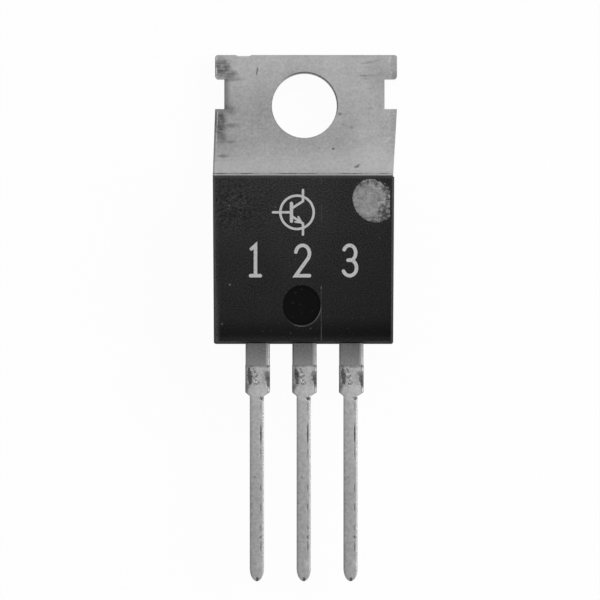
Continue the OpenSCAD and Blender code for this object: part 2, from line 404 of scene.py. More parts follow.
def tab_tone_and_painted_light(tab, grain, clouds, streaks):
    """The grey of the clean plating with painted light; a band is a ramp along Y and what it adds.
    """
    # Apart from the mottle, the grey is painted paler to the right, in bands and in patches.
    level = 0.55 + grain * 0.42 + clouds * 0.3 + streaks * 0.12 + tab.x * 0.004
    for start_y, full_y, change in PAINTED_LIGHT_BANDS:
        level = level + tab.y.ramp(start_y, full_y) * change
    for x, y, half_w, half_h, soft in PAINTED_LIGHT_PATCHES:
        level = level + tab.spot(x, y, half_w, half_h, soft) * PAINTED_LIGHT_LIFT
    # Painted light: a lift beside the resin, most on the left, and a darker and a paler place on the
    # right.
    level = level + tab.y.ramp(-2.7, -3.8) * (0.18 + tab.x.ramp(-1.5, -4.5) * 0.06)
    level = level - tab.x.ramp(3.0, 4.2) * tab.y.ramp(0.9, 1.6) * 0.08
    return level + tab.x.ramp(2.6, 4.2) * (tab.y + 0.95).size().ramp(2.1, 1.6) * 0.06


def hole_rim_shade(tab):
    """How much painted shade darkens the hole's rim: most of all on its upper right."""
    from_hole = (tab.x.squared() + tab.y.squared()).root()
    turned = (tab.x * 0.75 + tab.y).ramp(0.2, 1.6)
    return from_hole.ramp(HOLE_R + 0.08, HOLE_R + 0.04) * (turned * 0.8 + 0.1)


def mould_line(tab):
    """The line that the clamp printed, which is worn away in places."""
    worn = tab.noise(0.9, 3, 0.6, stretch=(1, 0.1, 1), seed=7).ramp(0.40, 0.56)
    return (tab.y - MOULD_LINE_Y).size().ramp(0.03, 0.008) * (worn * 0.8 + 0.3)


print(f"the mould's line is {MOULD_LINE_Y - CASE_TOP_Y:.3f} mm above the case")

# %% [markdown]
# ## The tab's finish put together
#
# The marks are on the front only, so a mask that is 1 there multiplies them. Flecks, with the
# burnish's painted glint, are added to the clean grey, the mould's line is taken off it, and the
# other dark marks multiply it, as do the painted shade of the rolled sides and the hole's rim and a
# painted shadow at the resin's foot. A rubbed place is brighter and also smoother, so the marks
# change the roughness too.

# %% Finish of the tab
def tab_finish():
    tab = Finish("nickel_plate", Metallic=1.0)
    front = tab.z.ramp(TAB_T - 0.16, TAB_T - 0.05)
    grain = tab.noise(8, 3, 0.65) - 0.5
    clouds = tab.noise(0.45, 3, 0.5, seed=4) - 0.5
    streaks = tab.noise(1.5, 4, 0.6, stretch=(0.7, 6, 1), seed=9) - 0.5
    rolled, burnish_and_glint, flecks = tab_edges(tab)
    dark = tab_marks(tab, streaks) * (1 - burnish_and_glint * 0.8)
    line = mould_line(tab)
    # A painted shadow along the foot of the resin, on the front only.
    contact_shadow = (tab.y - CASE_TOP_Y).ramp(0.10, 0.02) * front
    level = tab_tone_and_painted_light(tab, grain, clouds, streaks) + front * (flecks * 0.28 - line * 0.74)
    # The rolled sides and the hole's rim get painted shade here, and the resin's foot a painted
    # shadow.
    level = level * (1 - front * dark) * (1 - hole_rim_shade(tab)) * (1 - rolled) * (1 - contact_shadow * 0.75)
    bright = tab.blend(level, grey(0.07), grey(0.62))
    plain, neck_grain = plain_colour(tab)
    below_case = tab.y.ramp(CASE_FOOT_Y + 0.3, CASE_FOOT_Y + 0.2)
    tab.set(Base_Color=tab.blend(below_case, bright, plain),
            Roughness=0.42 + front * dark * 0.15 + clouds * 0.1 - front * flecks * 0.1)
    tab.bump(grain * 0.5 + streaks * 0.25 + neck_grain * 0.2 - front * line, 0.01)
    return tab.material


def plate_finish():
    plate = Finish("plain_plate", Metallic=1.0)
    colour, grain = plain_colour(plate)
    plate.set(Base_Color=colour, Roughness=0.40 + grain * 0.1)
    plate.bump(grain * 0.5, 0.006)
    return plate.material


nickel = tab_finish()
plain_plate = plate_finish()
print("tab finish has", len(nickel.node_tree.nodes), "nodes")

# %% [markdown]
# ## Marks in the solder
#
# A little over a millimetre below the resin each lead enters the solder that it was dipped in.
# Near the shoulder, where the solder bulges, dark reflections are painted beside its edges, and
# between them small dents get painted shade and small beads painted highlights. The comb that
# carried the leads has left the same dashes along all three. A row is written from the lead's
# middle and used for each lead, with a noise of its own.

# %% Place the marks in the solder
DIP_Y = CASE_FOOT_Y - 1.14
SHOULDER_Y = CASE_FOOT_Y - 2.62
DASH_X = 0.17
DENT_R = 0.055
BEAD_R = 0.05
DASHES = [
    (-16.42, 0.24, 0.045, 0.35), (-17.88, 0.55, 0.050, 0.85),
    (-18.90, 0.30, 0.035, 0.55), (-20.80, 0.20, 0.040, 0.55), (-21.85, 0.22, 0.045, 0.60),
    (-22.98, 0.16, 0.045, 0.45), (-23.47, 0.10, 0.070, 0.65), (-23.97, 0.28, 0.045, 0.55),
]
# The large rows beside the edges near the shoulder are painted dark reflections of the bulging
# solder.
SPLASHES_AND_REFLECTIONS = [
    (-0.17, -20.22, 0.07, 0.06, 0.5), (-0.32, -21.66, 0.05, 0.05, 0.55),
    (-0.47, -14.52, 0.09, 0.26, 0.9), (-0.42, -14.74, 0.14, 0.32, 0.92),
    (-0.4, -15.03, 0.1, 0.22, 0.9), (-0.56, -15.28, 0.13, 0.18, 0.55),
    (0.52, -14.62, 0.19, 0.17, 0.7), (0.56, -14.86, 0.17, 0.24, 0.85),
    (0.59, -15.12, 0.11, 0.22, 0.9), (0.44, -14.82, 0.22, 0.42, 0.24),
    (-0.6, -15.48, 0.07, 0.22, 0.45), (-0.6, -14.75, 0.05, 0.5, 0.3),
    (-0.18, -14.78, 0.17, 0.42, 0.2), (0.21, -15.95, 0.1, 0.11, 0.85),
    (0.09, -15.9, 0.12, 0.05, 0.35),
]
# Each dent is a real dimple in the bump, darkened as painted shade.
DENTS_WITH_PAINTED_SHADE = [(-0.23, -14.35), (-0.19, -14.44), (-0.14, -14.53), (-0.25, -14.77), (-0.17, -14.83),
         (-0.09, -14.76), (-0.03, -14.69), (-0.10, -14.98), (-0.15, -15.16), (-0.05, -15.17),
         (0.04, -15.10)]
# Each bead is a real bump, brightened as a painted highlight.
BEADS_WITH_PAINTED_HIGHLIGHT = [(-0.13, -14.64), (-0.24, -14.65), (-0.12, -15.07), (-0.20, -14.97), (-0.06, -14.86)]


def solder_marks(solder, lead_x):
    """How dark the dashes, splashes, cut at the tip and painted reflections and dent shade are, 0 to
    1.
    """
    smear = solder.noise(2.4, 3, 0.6, stretch=(1, 3, 1), seed=lead_x + 7) - 0.5
    marks = [solder.spot(lead_x + DASH_X, y, half_w, half_h, 0.5, 1.1) * depth
             for y, half_h, half_w, depth in DASHES]
    marks += [solder.spot(lead_x + x, y, half_w, half_h, 0.35, 1.8) * depth * (0.95 + smear)
              for x, y, half_w, half_h, depth in SPLASHES_AND_REFLECTIONS]
    marks += [solder.spot(lead_x + x, y, DENT_R, DENT_R, 0.8, 1.5) * 0.70 for x, y in DENTS_WITH_PAINTED_SHADE]
    marks.append(solder.spot(lead_x - 0.02, TIP_Y + 0.09, 0.08, 0.13, 0.4, 1.2) * 0.9)
    return largest(marks)


print(f"solder starts at {DIP_Y:.2f} mm and narrows at {SHOULDER_Y:.2f} mm")

# %% [markdown]
# ## Finish of the solder
#
# Solder is brighter than the plating and has a broad soft sheen. It swells to a dome at the
# shoulder, where more of it hung, and thins out at its upper end, where the dark plating shows
# through. Painted light and shade go on its grey: shade on the left side of the pin and beside the
# shoulder, and highlights on a strip on its right, on the dome, on the beads and near the tip.

# %% Finish of the solder
def solder_tone_and_painted_light(solder, lead_x, grain):
    """The grey of the clean solder with its painted light and shade, from 0 to 1."""
    across = solder.x - lead_x
    # Painted shade on the pin's left, and a painted highlight on a strip on its right.
    left = across.ramp(-0.24, -0.40) * solder.y.ramp(SHOULDER_Y, SHOULDER_Y - 0.3)
    strip = across.ramp(0.20, 0.26) * solder.y.ramp(SHOULDER_Y - 0.1, SHOULDER_Y - 0.5)
    # A painted highlight near the tip.
    glow = solder.spot(lead_x + 0.16, TIP_Y + 0.93, 0.12, 0.17, 0.8)
    creep = (solder.noise(2.5, 3, 0.6, seed=lead_x + 4) - 0.5) * 0.25
    thin = (solder.y - DIP_Y + 0.10 + creep).ramp(-0.07, 0.05)
    thin = thin * (1 - across.ramp(-0.50, -0.60) * 0.7)
    # Painted shade on both sides beside the shoulder.
    painted_shade_right = across.ramp(0.50, 0.58) * solder.y.ramp(SHOULDER_Y - 0.15, SHOULDER_Y + 0.05)
    painted_shade_left = across.ramp(-0.40, -0.60) * solder.y.ramp(SHOULDER_Y - 0.1, SHOULDER_Y + 0.2)
    # The solder is also painted paler towards its right.
    level = 0.57 + grain * 0.48 + across * 0.12 - solder.y.ramp(-16.8, -21.5) * 0.08
    level = level - left * 0.12 + strip * 0.08 - thin * 0.30 + glow * 0.10
    return level - painted_shade_right * 0.26 - painted_shade_left * 0.14


def solder_finish(name, lead_x):
    solder = Finish(f"solder_{name}", Metallic=1.0)
    front = solder.z.ramp(LEAD_FRONT_Z - 0.16, LEAD_FRONT_Z - 0.08)
    grain = solder.noise(6, 3, 0.6, seed=lead_x) - 0.5
    dark = solder_marks(solder, lead_x)
    # The dome's and the beads' paler grey is painted highlight; their bumps are real.
    dome_and_glint = solder.spot(lead_x + 0.05, SHOULDER_Y - 0.04, 0.55, 0.44, 0.12)
    beads_and_glints = largest(solder.spot(lead_x + x, y, BEAD_R, BEAD_R, 0.6, 1.2) for x, y in BEADS_WITH_PAINTED_HIGHLIGHT)
    level = solder_tone_and_painted_light(solder, lead_x, grain) + dome_and_glint * 0.07 + beads_and_glints * 0.2
    solder.set(Base_Color=solder.blend(level * (1 - front * dark), grey(0.05), grey(0.60)),
               Roughness=0.34 + grain * 0.1 + front * dark * 0.2)
    solder.bump(grain + dome_and_glint * 0.3 + beads_and_glints - front * dark * 1.5, 0.008)
    return solder.material


solders = {lead: solder_finish(f"{lead}_solder", lead_x) for lead, lead_x in LEAD_XS.items()}
print(", ".join(solder.name for solder in solders.values()))

# %% [markdown]
# ## Moulded resin
#
# Filled epoxy is a very dark grey with a fine dry grain, because the mould's face was spark-eroded.
# The ejector pin's face was polished, so its mark is smoother, and its floor is painted blacker as
# a dark reflection; only the lower left of its rim gets a painted highlight. A faint moulding line
# runs down the right half, and a few grains of filler show as pale specks.

# %% Place the marks on the case
MARK_X = -0.15
MARK_Y = CASE_FOOT_Y + 2.1
MARK_R = 1.025
# The mark's painted darkening is stretched in Y over the shade on the recess's walls.
MARK_TALL = 0.93
MARK_FLOOR_Z = 3.5
HAIRLINE_X = 0.905
SPECKS = [(-4.05, -5.52, 0.040, 0.8), (-4.02, -9.78, 0.050, 1.0), (-1.57, -5.60, 0.035, 0.6),
          (-3.90, -5.15, 0.025, 0.5), (-3.45, -6.10, 0.025, 0.4), (-1.60, -4.40, 0.025, 0.4),
          (4.05, -7.28, 0.035, 0.3), (0.32, -12.15, 0.040, 0.5), (-4.45, -11.9, 0.060, 0.4),
          (-2.25, -12.3, 0.030, 0.3), (2.60, -11.6, 0.030, 0.25), (-0.75, -12.4, 0.035, 0.3)]
HAIRLINE = [(-4.21, 0.16, 0.18), (-5.93, 0.43, 0.16), (-9.95, 0.09, 0.75), (-10.40, 0.30, 0.22),
            (-11.60, 0.55, 0.25), (-12.40, 0.42, 0.42)]


def pin_mark(resin, front):
    """The ejector pin's mark: 1 on its floor, and 1 where its rim gets a painted highlight."""
    right, up = resin.x - MARK_X, resin.y - MARK_Y
    away = (right.squared() + (up * MARK_TALL).squared()).root()
    floor = away.ramp(MARK_R + 0.02, MARK_R - 0.02)
    floor = floor * resin.z.ramp(MARK_FLOOR_Z, MARK_FLOOR_Z + 0.1)
    rim = (away - MARK_R - 0.02).size().ramp(0.05, 0.01)
    # Only the side of the rim that faces the light gets the painted highlight.
    rim = rim * (right * 0.55 - up).ramp(0.25, 0.95) * front
    return floor, rim * (resin.noise(2.0, 3, 0.6, seed=21) * 3 - 0.5)


def pale_marks(resin, front, rim):
    """How pale the rim's painted highlight, the moulding line, the specks and tiny pocks are."""
    line = (resin.x - HAIRLINE_X - (resin.noise(0.4, 1) - 0.5) * 0.04).size().ramp(0.035, 0.01)
    marks = [rim * 0.5]
    for y, half_h, strength in HAIRLINE:
        part = (resin.y - y).size().ramp(half_h * 1.2, half_h * 0.8)
        marks.append(line * part * front * strength)
    for x, y, r, strength in SPECKS:
        marks.append(resin.spot(x, y, r, r, 0.5, 0.8) * front * strength)
    marks.append((resin.noise(9, 1, 0.5, seed=12) - 0.735).ramp(0.0, 0.05) * front * 0.25)
    return largest(marks)


print(len(SPECKS), "specks and", len(HAIRLINE), "stretches of the moulding line")

# %% [markdown]
# ## Finish of the resin
#
# Painted light makes the case paler towards its top and darker at its foot and towards its right,
# and painted highlights make it paler along its left and lower edges. Its grain is strong and
# multiplies the grey, so that the pale parts look grainier. Resin has next to no shine, which is
# one number for the whole surface and goes on the shader's own socket.

# %% Finish of the case
RESIN_SHINE = 0.045


def case_tone_and_painted_light(resin):
    """The grey of the resin with painted light and shade, without its grain and marks."""
    # Painted light: paler towards the top and darker at the foot.
    upper = (resin.y - CASE_FOOT_Y) / (CASE_TOP_Y - CASE_FOOT_Y)
    lower = 1 - upper
    foot_shade = resin.y.ramp(CASE_FOOT_Y + 1.6, CASE_FOOT_Y + 0.6)
    # Painted highlights along the left and lower edges of the front.
    in_left = resin.x - case_low.x - lower * 0.06
    edge = in_left.ramp(0.44, 0.08) * (0.07 + lower * lower * lower * 0.40)
    edge = edge + (resin.y - CASE_FOOT_Y).ramp(0.55, 0.12) * 0.10
    edge = edge * resin.z.ramp(FRONT_Z - 0.7, FRONT_Z - 0.1)
    # Painted shade towards the right, more near the top.
    right = resin.x.larger(0.0) * (0.005 + upper * 0.009)
    return 0.10 + upper * 0.13 - foot_shade * 0.06 - right + edge


def resin_finish():
    resin = Finish("moulded_resin", Specular_IOR_Level=RESIN_SHINE)
    front = resin.z.ramp(FRONT_Z - 0.06, FRONT_Z - 0.02)
    floor, rim = pin_mark(resin, front)
    pale = pale_marks(resin, front, rim)
    floor_flecks = resin.noise(4.5, 2, 0.6, seed=31).ramp(0.64, 0.72) * 0.16
    grain = resin.noise(14, 3, 0.65) - 0.5
    clouds = resin.noise(0.6, 3, 0.5, seed=5) - 0.5
    pitted = resin.spot(-3.9, -5.5, 1.5, 1.3, 0.9) * (resin.noise(7, 2, 0.6, seed=17) - 0.5)
    level = case_tone_and_painted_light(resin) * (1 + grain * 4.6 + clouds * 0.5 + pitted * 3.8)
    # The mark's floor is painted nearly black as a dark reflection of its polish, with pale flecks.
    level = level.larger(0.0) * (1 - floor * 0.95) + floor * floor_flecks + pale
    resin.set(Base_Color=resin.blend(level, grey(0.002), grey(0.12)),
              Roughness=0.72 + grain * 0.2 - floor * 0.4)
    resin.bump(grain * (1 - floor) + pale * 0.6, 0.012)
    return resin.material


resin = resin_finish()
print("resin finish has", len(resin.node_tree.nodes), "nodes")

# %% [markdown]
# ## Paint of the sorting dot
#
# The dot is brushed on by hand: thick on its left, thin and streaky on its right, where the brush
# lifted. One mask says how thick the paint is and sets its grey, and another says how well it
# covers the resin and sets its alpha. Both use a noise that is turned to the way of the brush, and
# faint rings round the dot's middle.

# %% Finish of the paint
DOT_X = 3.82
DOT_Y = -5.20
DOT_R = 1.18


def paint_thickness(right, up, grain, blots, brush, lift, loose):
    """How thick the paint is before it thins to its edges."""
    thick = 0.66 + grain * (1.0 + loose * 1.2) + brush * (0.7 + lift * 2.2)
    thick = thick + blots * (0.7 + loose * 2.6)
    return thick - (right - 0.5).ramp(0.0, 0.3) * (0.16 + up.size().ramp(0.9, 0.4) * 0.14)


def paint_finish():
    paint = Finish("sorting_paint", Roughness=0.55)
    right = paint.x - DOT_X
    up = paint.y - DOT_Y
    away = (right.squared() + up.squared()).root() / DOT_R
    away = away - (up - right).ramp(0.9, 1.6) * 0.06 + (up + right).ramp(1.0, 1.4) * 0.16
    grain = paint.noise(9, 4, 0.75, seed=3) - 0.5
    blots = paint.noise(3.6, 3, 0.6, seed=8) - 0.5
    brush = paint.noise(2.6, 4, 0.65, stretch=(1, 3.2, 1), seed=1, turn=35) - 0.5
    rings = paint.maths("SINE", away * 26 + paint.noise(1.6, 3, 0.6, seed=2) * 15)
    lift = (right + 0.1 - up * 0.3).ramp(0.0, 1.1)
    upper = (up - 0.1 + right * 0.45).ramp(0.0, 1.2)
    loose = lift.larger(upper)
    top = (up - right * 0.3).ramp(0.55, 1.15)
    thin = (right * 0.7 - up).ramp(0.3, 1.2)
    thick = paint_thickness(right, up, grain, blots, brush, lift, loose)
    thick = thick + rings * loose * 0.14 - away.ramp(0.75, 1.0) * 0.14
    thick = thick - lift * 0.08 - upper * 0.22 - thin * 0.30 - top * 0.24
    cover = (1 - away) * 8 + 0.6 + grain * 1.8 + brush * (0.8 + loose * 4)
    cover = cover + (right * 0.7 - up).ramp(0.9, 1.5) * 1.4 - right.ramp(0.55, 0.82) * 0.9
    cover = cover + rings * loose * 0.5 - loose * 0.25 + thin * 0.5 - top * 0.2
    cover = cover - away.ramp(1.0, 1.08) * 2
    paint.set(Base_Color=paint.blend(thick, grey(0.02), grey(0.34)),
              Alpha=cover.ramp(0.1, 0.9))
    paint.bump(grain + brush + blots, 0.02)
    return paint.material


paint = paint_finish()
print("paint finish has", len(paint.node_tree.nodes), "nodes")

# %% [markdown]
# ## Ink and what is sealed inside
#
# The print is a thin pale ink that the grain of the resin shows through in tiny specks, so its
# alpha falls where a fine noise is high. The chip, its solder and the bond wires can't be seen,
# and get plain true finishes: silicon is dark and glossy, and the wires are bright aluminium.

# %% Finishes of the ink and the inner pieces
def ink_finish():
    ink = Finish("print_ink", Roughness=0.6)
    grain = ink.noise(13, 2, 0.7, seed=6)
    ink.set(Base_Color=ink.blend(grain, grey(0.34), grey(0.60)),
            Alpha=1 - grain.ramp(0.60, 0.68) * 0.6)
    return ink.material


def plain_finish(name, colour, roughness, metallic):
    plain = Finish(name, Metallic=metallic)
    grain = plain.noise(6, 2, 0.5) - 0.5
    low = [channel * 0.85 for channel in colour]
    plain.set(Base_Color=plain.blend(0.5 + grain, (*low, 1), (*colour, 1)),
              Roughness=roughness + grain * 0.1)
    return plain.material


ink = ink_finish()
silicon = plain_finish("silicon", (0.10, 0.12, 0.17), 0.25, 0.0)
die_attach = plain_finish("die_attach", (0.42, 0.42, 0.44), 0.45, 1.0)
bond_wire = plain_finish("bond_wire", (0.80, 0.80, 0.80), 0.30, 1.0)
print("ink and inner finishes ready")

# %% [markdown]
# ## Meshes that become pieces
#
# Every new piece ends the same way: its lengths go from millimetres to metres, it gets a finish,
# and it rides on the part's only body. Its shading is smooth, but a plain average would also bend
# the light on flat faces beside a narrow round. Weighting each face by its area keeps them flat.

# %% Turn a bmesh into a piece
def weighted_normals(mesh, limit_deg=35):
    """Gives each corner the mean normal of the faces that it rounds into, each worth its area."""
    limit = math.cos(math.radians(limit_deg))
    around = [[] for vert in mesh.vertices]
    for face in mesh.polygons:
        for index in face.vertices:
            around[index].append((face.normal.copy(), face.area))
    normals = [None] * len(mesh.loops)
    for face in mesh.polygons:
        for loop, index in zip(face.loop_indices, face.vertices):
            near = [normal * area for normal, area in around[index]
                    if normal.dot(face.normal) > limit]
            normals[loop] = sum(near, Vector()).normalized()
    mesh.normals_split_custom_set(normals)


def finish_mesh(name, bm, material):
    """Makes a piece of a bmesh whose lengths are in millimetres, riding on the only body."""
    bmesh.ops.scale(bm, vec=Vector((MM, MM, MM)), verts=bm.verts)
    mesh = bpy.data.meshes.new(name)
    bm.to_mesh(mesh)
    bm.free()
    mesh.materials.append(material)
    mesh.shade_smooth()
    weighted_normals(mesh)
    piece = bpy.data.objects.new(name, mesh)
    bpy.context.scene.collection.objects.link(piece)
    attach(piece, "root")
    return piece


print("mesh helpers ready")

# %% [markdown]
# ## Soft edges on the CAD solids
#
# A stamped or moulded edge is never a knife edge, and the light that it catches is what makes a
# small part look real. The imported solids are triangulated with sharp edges, so each visible one is
# copied, its triangles are dissolved back to whole faces, and every edge that turns by more than a
# few degrees gets a small round. The copy then stands for the node. The tab's top edge was once
# knocked, so a few cuts give it vertices there and these are pushed in.

# %% Round the edges of the copies
NICK_X = -3.31
NICK_HALF = 0.42
NICK_DEPTH = 0.15
NICK_REACH = 0.2
NICK_STEPS = 6
SAME_PLACE = 0.0005
ROUND_STEPS = 3
SOFT_SOLIDS = (("case", "case_resin", resin, 0.05), ("mounting_tab", "plated_copper", nickel, 0.05),
               ("base_lead", "tinned_lead", plain_plate, 0.02),
               ("emitter_lead", "tinned_lead", plain_plate, 0.02))


def softened(node, round_mm, turn_deg=12):
    """A bmesh of a CAD node in millimetres, with rounded edges."""
    bm = bmesh.new()
    bm.from_mesh(nodes[node].data)
    bmesh.ops.scale(bm, vec=Vector((1, 1, 1)) / MM, verts=bm.verts)
    bmesh.ops.remove_doubles(bm, verts=bm.verts, dist=SAME_PLACE)
    bmesh.ops.dissolve_limit(bm, angle_limit=math.radians(1), verts=bm.verts, edges=bm.edges)
    sharp = [edge for edge in bm.edges if edge.calc_face_angle(0) > math.radians(turn_deg)]
    bmesh.ops.bevel(bm, geom=sharp, offset=round_mm, segments=ROUND_STEPS, profile=0.5,
                    affect="EDGES", clamp_overlap=True, material=-1)
    return bm


def cut_across(bm, at, facing, **options):
    """Cuts all of a bmesh along a plane."""
    return bmesh.ops.bisect_plane(bm, geom=[*bm.verts, *bm.edges, *bm.faces], plane_co=at,
                                  plane_no=facing, **options)


def nicked(bm):
    """Dents the tab's top edge, most of all at its front."""
    for step in range(2 * NICK_STEPS + 1):
        cut_across(bm, (NICK_X + NICK_HALF * (step / NICK_STEPS - 1), 0, 0), (1, 0, 0))
    for vert in bm.verts:
        share = abs(vert.co.x - NICK_X) / NICK_HALF
        if share < 1 and vert.co.y > tab_high.y - NICK_REACH:
            dent = NICK_DEPTH * (1 - share ** 2)
            vert.co.y -= dent * max(vert.co.z / TAB_T, 0)


for node, slot, material, round_mm in SOFT_SOLIDS:
    soft = softened(node, round_mm)
    if node == "mounting_tab":
        nicked(soft)
    print(node, "softened to", len(soft.faces), "faces")
    piece = finish_mesh(f"{node}_soft", soft, material)
    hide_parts(node)

# %% [markdown]
# ## Sealed pieces
#
# The chip, the solder under it and the two bond wires are inside the resin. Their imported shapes
# are right and nobody sees their edges, so each node keeps its own mesh and only gets its finish.

# %% Finish the sealed pieces
for node, material in (("die", silicon), ("die_solder", die_attach),
                       ("base_wire", bond_wire), ("emitter_wire", bond_wire)):
    nodes[node].data.materials.clear()
    nodes[node].data.materials.append(material)
    print(node, "is finished as", material.name)

# %% [markdown]
# ## Solder coats
#
# The dip leaves a skin that is a hundredth of a millimetre thick on the sides and swells to the
# middle of each face. At its upper end it thins out, as wetting solder does. A coat is made as a
# long box with rolled long edges, which is cut across many times, drawn in to the lead's outline,
# which one function gives, and swollen.

# %% Shape the coats
NECK_W = 1.32
PIN_W = 0.75
PIN_LEFT = 0.04
SHOULDER_L = 0.2
TIP_L = 0.7
SKIN = 0.012
SWELL = 0.03
BACK_SWELL = 0.5
START_L = 0.3
START_THIN = 0.8
COAT_ROUND = 0.13
CUTS_ACROSS = 9
CUTS_ALONG = 260


def sides_at(y):
    """Where a lead's left and right sides lie at a level along Y, measured from its middle."""
    share = min(max((SHOULDER_Y - y) / SHOULDER_L, 0), 1)
    past = min(max((TIP_Y + TIP_L - y) / TIP_L, 0), 0.998)
    reach = (NECK_W + share * (PIN_W - NECK_W)) / 2 * math.sqrt(1 - past ** 2)
    return -PIN_LEFT * share - reach, -PIN_LEFT * share + reach


def cut_box(length, thickness):
    """A box two wide with rolled long edges, cut finely at its ends and coarsely between."""
    bm = bmesh.new()
    bmesh.ops.create_cube(bm, size=1.0)
    bmesh.ops.scale(bm, vec=Vector((2, length, thickness)), verts=bm.verts)
    long_edges = [e for e in bm.edges if abs(e.verts[0].co.y - e.verts[1].co.y) > 0.1]
    bmesh.ops.bevel(bm, geom=long_edges, offset=COAT_ROUND, segments=4, profile=0.5,
                    affect="EDGES", material=-1)
    across = [e for e in bm.edges if abs(e.verts[0].co.x - e.verts[1].co.x) > 0.5]
    bmesh.ops.subdivide_edges(bm, edges=across, cuts=CUTS_ACROSS, use_grid_fill=True)
    for cut in range(1, CUTS_ALONG):
        share = cut / CUTS_ALONG
        cut_across(bm, (0, length * (share * share * (3 - 2 * share) - 0.5), 0), (0, 1, 0))
    return bm


def solder_coat(name, lead_x, material):
    """A cut box that is drawn in to the lead's outline and swollen."""
    bm = cut_box(DIP_Y - TIP_Y + SKIN, LEAD_FRONT_Z - LEAD_BACK_Z + 2 * SKIN)
    middle = Vector((lead_x, (DIP_Y + TIP_Y - SKIN) / 2, (LEAD_FRONT_Z + LEAD_BACK_Z) / 2))
    for vert in bm.verts:
        y = vert.co.y + middle.y
        share = vert.co.x
        left, right = sides_at(y)
        start = min(max((DIP_Y - y) / START_L, 0), 1)
        swell = SWELL * (1 - share ** 2) * (1 if vert.co.z > 0 else BACK_SWELL) * start
        vert.co.z += math.copysign(swell - SKIN * START_THIN * (1 - start), vert.co.z)
        vert.co.x = (left + right) / 2 + share * ((right - left) / 2 + SKIN)
    bmesh.ops.translate(bm, vec=middle, verts=bm.verts)
    bmesh.ops.recalc_face_normals(bm, faces=bm.faces)
    return finish_mesh(name, bm, material)


for lead, lead_x in LEAD_XS.items():
    coat = solder_coat(f"{lead}_solder", lead_x, solders[lead])
    print(coat.name, len(coat.data.polygons), "faces")

# %% [markdown]
# ## Strokes of ink
#
# The front carries the circuit symbol of such a transistor and a plain pin number over each lead.
# A pad prints them in one thin layer of pale ink, so each stroke is a flat ribbon with round ends.
# It starts as one edge, which is extruded along the path, and gets its thickness at the end. The
# strokes of a sign are then joined, so that no two films of ink lie on each other.

# %% Draw strokes of ink
STROKE = 0.19
INK_UP = 0.008
INK_DOWN = 0.02
CAP_STEPS = 6
SHARPEST = 0.35


def arc(centre, radius_x, radius_y, from_deg, to_deg, steps=16):
    """Points along part of an ellipse."""
    angles = [math.radians(from_deg + (to_deg - from_deg) * i / steps) for i in range(steps + 1)]
    return [(centre[0] + radius_x * math.cos(a), centre[1] + radius_y * math.sin(a))
            for a in angles]


def path_stations(points, width, closed):
    """Each point of a path with the way to its left side, mitred at corners, and round ends."""
    points = [Vector(point) for point in points]
    runs = [(b - a).normalized() for a, b in zip(points, points[1:])]
    if closed:
        runs = [runs[-1], *runs, runs[0]]
    else:
        runs = [runs[0], *runs, runs[-1]]
    stations = []
    for point, before, after in zip(points, runs, runs[1:]):
        along = (before + after).normalized()
        side = Vector((-along.y, along.x)) / max(along.dot(after), SHARPEST)
        stations.append((point, side * width / 2))
    if not closed:
        for end, run in ((0, -runs[0]), (-1, runs[-1])):
            point, side = stations[end]
            for step in range(1, CAP_STEPS):
                angle = math.pi / 2 * step / CAP_STEPS
                narrow = (point + run * width / 2 * math.sin(angle), side * math.cos(angle))
                stations.insert(0 if end == 0 else len(stations), narrow)
    return stations


def stroke(points, width=STROKE, closed=False):
    """A flat closed ribbon of ink along a path."""
    stations = path_stations(points, width, closed)
    bm = bmesh.new()
    first = [bm.verts.new((*(point + way * side), FRONT_Z + INK_UP))
             for point, side in stations[:1] for way in (1, -1)]
    edge = bm.edges.new(first)
    for (was, was_side), (point, side) in zip(stations, stations[1:]):
        moved = bmesh.ops.extrude_edge_only(bm, edges=[edge])["geom"]
        edge = next(part for part in moved if isinstance(part, bmesh.types.BMEdge))
        for vert in (part for part in moved if isinstance(part, bmesh.types.BMVert)):
            way = 1 if (vert.co.xy - was).dot(was_side) > 0 else -1
            vert.co.xy = point + way * side
    if closed:
        bmesh.ops.remove_doubles(bm, verts=bm.verts, dist=SAME_PLACE)
    made = bmesh.ops.extrude_face_region(bm, geom=list(bm.faces))["geom"]
    down = [part for part in made if isinstance(part, bmesh.types.BMVert)]
    bmesh.ops.translate(bm, vec=(0, 0, -INK_UP - INK_DOWN), verts=down)
    bmesh.ops.recalc_face_normals(bm, faces=bm.faces)
    return bm


def printed(name, strokes):
    """Joins strokes into one solid."""
    objects = []
    for bm in strokes:
        mesh = bpy.data.meshes.new("stroke")
        bm.to_mesh(mesh)
        bm.free()
        objects.append(bpy.data.objects.new("stroke", mesh))
        bpy.context.scene.collection.objects.link(objects[-1])
    whole = objects[0]
    for other in objects[1:]:
        union = whole.modifiers.new("union", "BOOLEAN")
        union.operation = "UNION"
        union.solver = "EXACT"
        union.object = other
    joined = bmesh.new()
    joined.from_object(whole, bpy.context.evaluated_depsgraph_get())
    for spare in objects:
        bpy.data.objects.remove(spare)
    return finish_mesh(name, joined, ink)


print(f"strokes are {STROKE} mm wide and {INK_UP} mm proud")

# %% [markdown]
# ## Pin numbers
#
# The numerals are drawn as a pen would draw them, in the plain engineer's hand of such prints: a
# few straight lines and parts of ellipses, each a path for one stroke.

# %% Print the numbers
NUMBER_Y = -8.48
NUMBER_W = 0.74
NUMBER_H = 1.64
NUMBER_LEFT = 0.1


